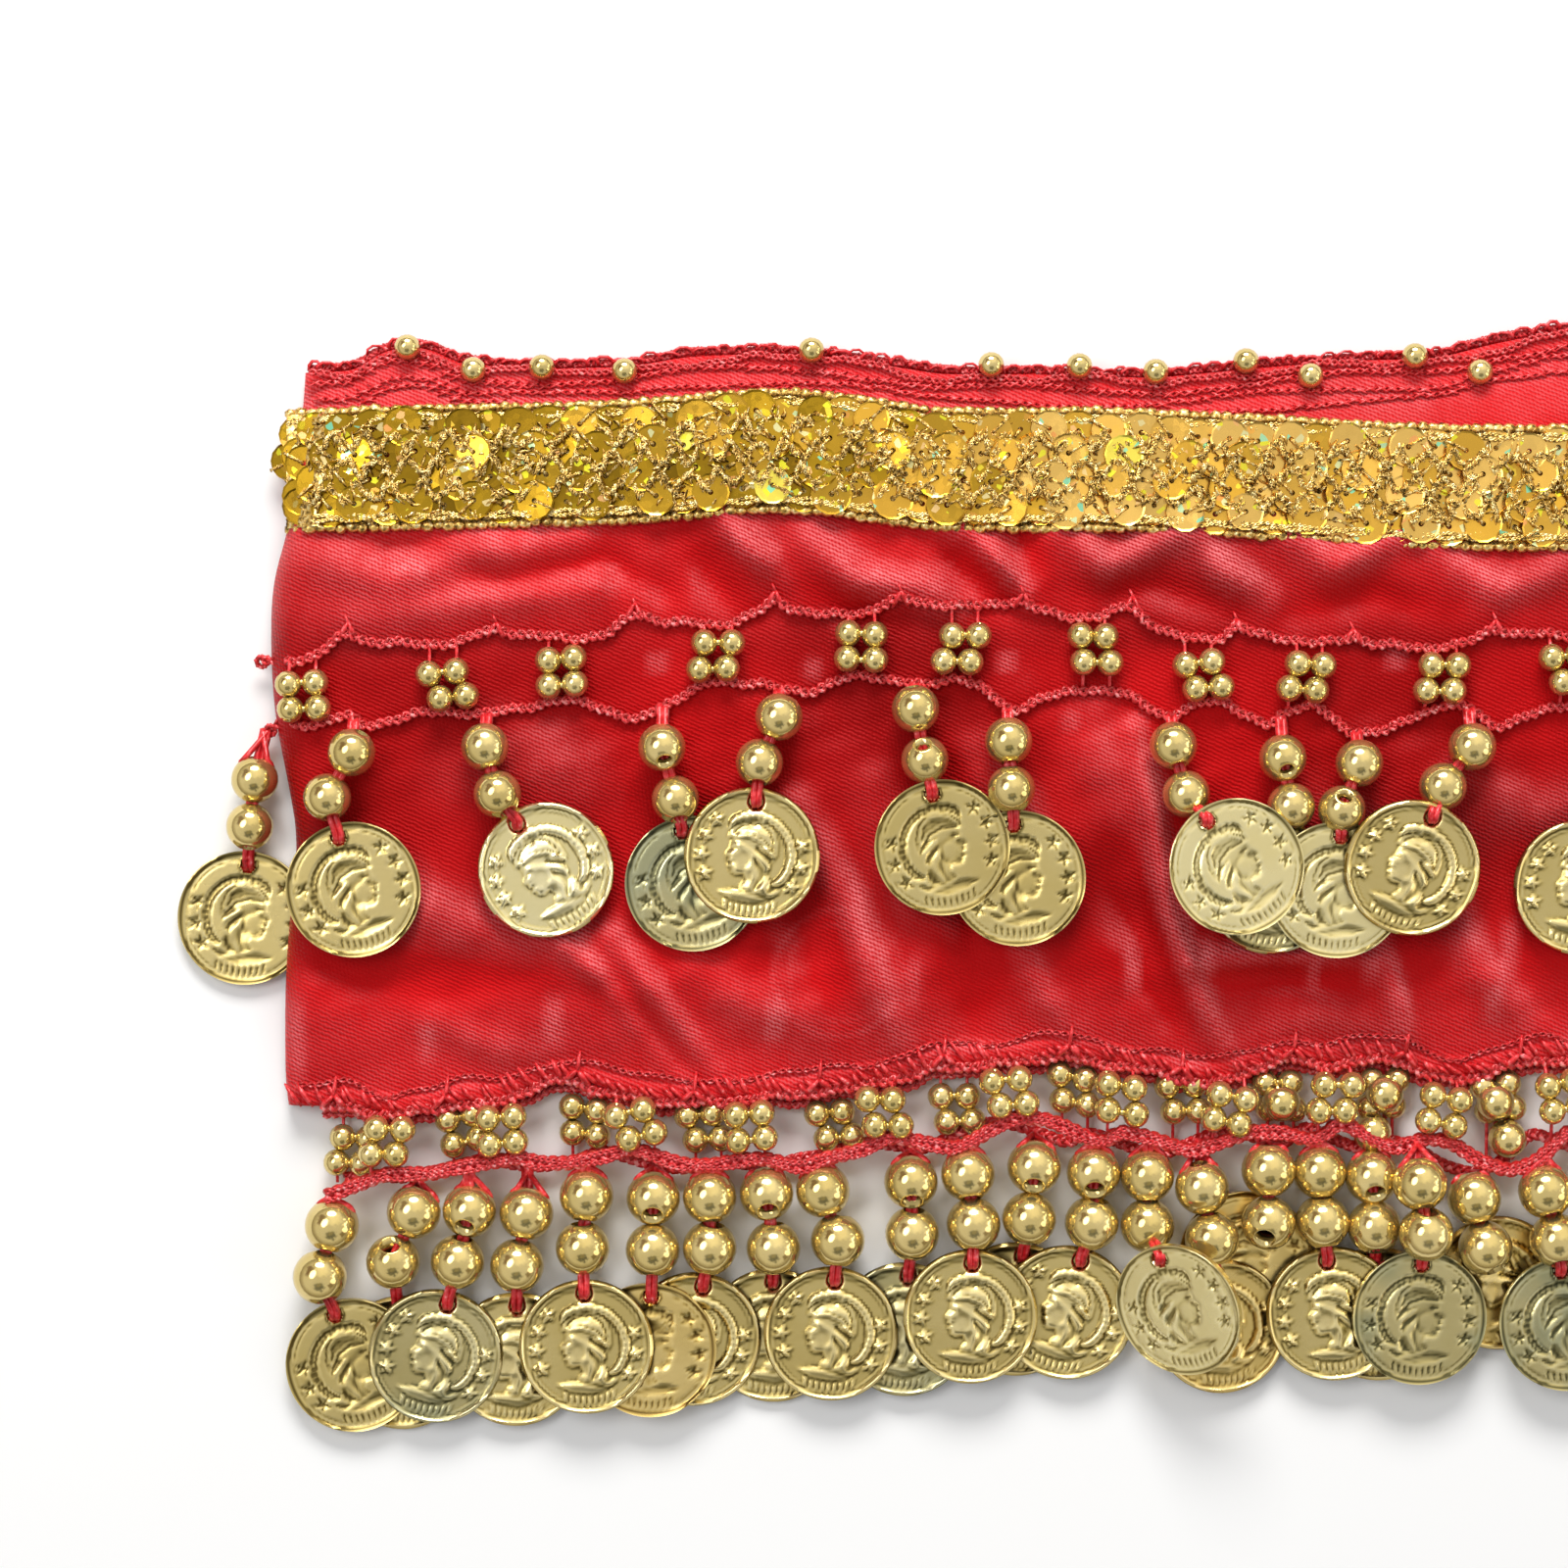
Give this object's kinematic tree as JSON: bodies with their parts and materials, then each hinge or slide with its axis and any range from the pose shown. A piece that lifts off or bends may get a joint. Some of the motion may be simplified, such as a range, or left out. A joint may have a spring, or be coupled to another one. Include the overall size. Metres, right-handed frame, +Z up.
{
  "type": "dog belly dance hip scarf",
  "caption": "Sheer red pet hip scarf folded in half and laid flat, with a gold sequin braid, crocheted bead nets and fringes of gold beads and coins; plain ties at one end.",
  "frame": {"origin": "middle of the part's footprint, on the surface it lies on", "axes": "+X along the scarf from its fold to its ties, +Y from the hem fringe up to the top edge, +Z up from the surface"},
  "size_m": [0.4008, 0.1816, 0.015],
  "materials": {
    "red_cloth": "sheer crepe chiffon, soft sheen",
    "red_crochet": "twisted polyester thread, slightly glossy",
    "gold_sequin": "mirror gold foil with a rainbow flash",
    "gold_metal": "plated pale gold, polished"
  },
  "bodies": {
    "root": {"back_layers": "red_cloth", "cloth_front": "red_cloth", "sequin_band": "gold_sequin", "top_edging_front": "red_crochet", "top_edging_back": "red_crochet", "mid_net": "red_crochet", "hem_net_front": "red_crochet", "hem_net_back": "red_crochet", "fold_drop": "gold_metal", "mid_drop_01": "gold_metal", "mid_drop_02": "gold_metal", "mid_drop_03": "gold_metal", "mid_drop_04": "gold_metal", "mid_drop_05": "gold_metal", "mid_drop_06": "gold_metal", "mid_drop_07": "gold_metal", "mid_drop_08": "gold_metal", "mid_drop_09": "gold_metal", "mid_drop_10": "gold_metal", "mid_drop_11": "gold_metal", "mid_drop_12": "gold_metal", "mid_drop_13": "gold_metal", "hem_drop_front_01": "gold_metal", "hem_drop_front_02": "gold_metal", "hem_drop_front_03": "gold_metal", "hem_drop_front_04": "gold_metal", "hem_drop_front_05": "gold_metal", "hem_drop_front_06": "gold_metal", "hem_drop_front_07": "gold_metal", "hem_drop_front_08": "gold_metal", "hem_drop_front_09": "gold_metal", "hem_drop_front_10": "gold_metal", "hem_drop_front_11": "gold_metal", "hem_drop_front_12": "gold_metal", "hem_drop_front_13": "gold_metal", "hem_drop_back_01": "gold_metal", "hem_drop_back_02": "gold_metal", "hem_drop_back_03": "gold_metal", "hem_drop_back_04": "gold_metal", "hem_drop_back_05": "gold_metal", "hem_drop_back_06": "gold_metal", "hem_drop_back_07": "gold_metal", "hem_drop_back_08": "gold_metal", "hem_drop_back_09": "gold_metal", "hem_drop_back_10": "gold_metal", "hem_drop_back_11": "gold_metal", "hem_drop_back_12": "gold_metal", "hem_drop_back_13": "gold_metal"}
  },
  "joints": []
}
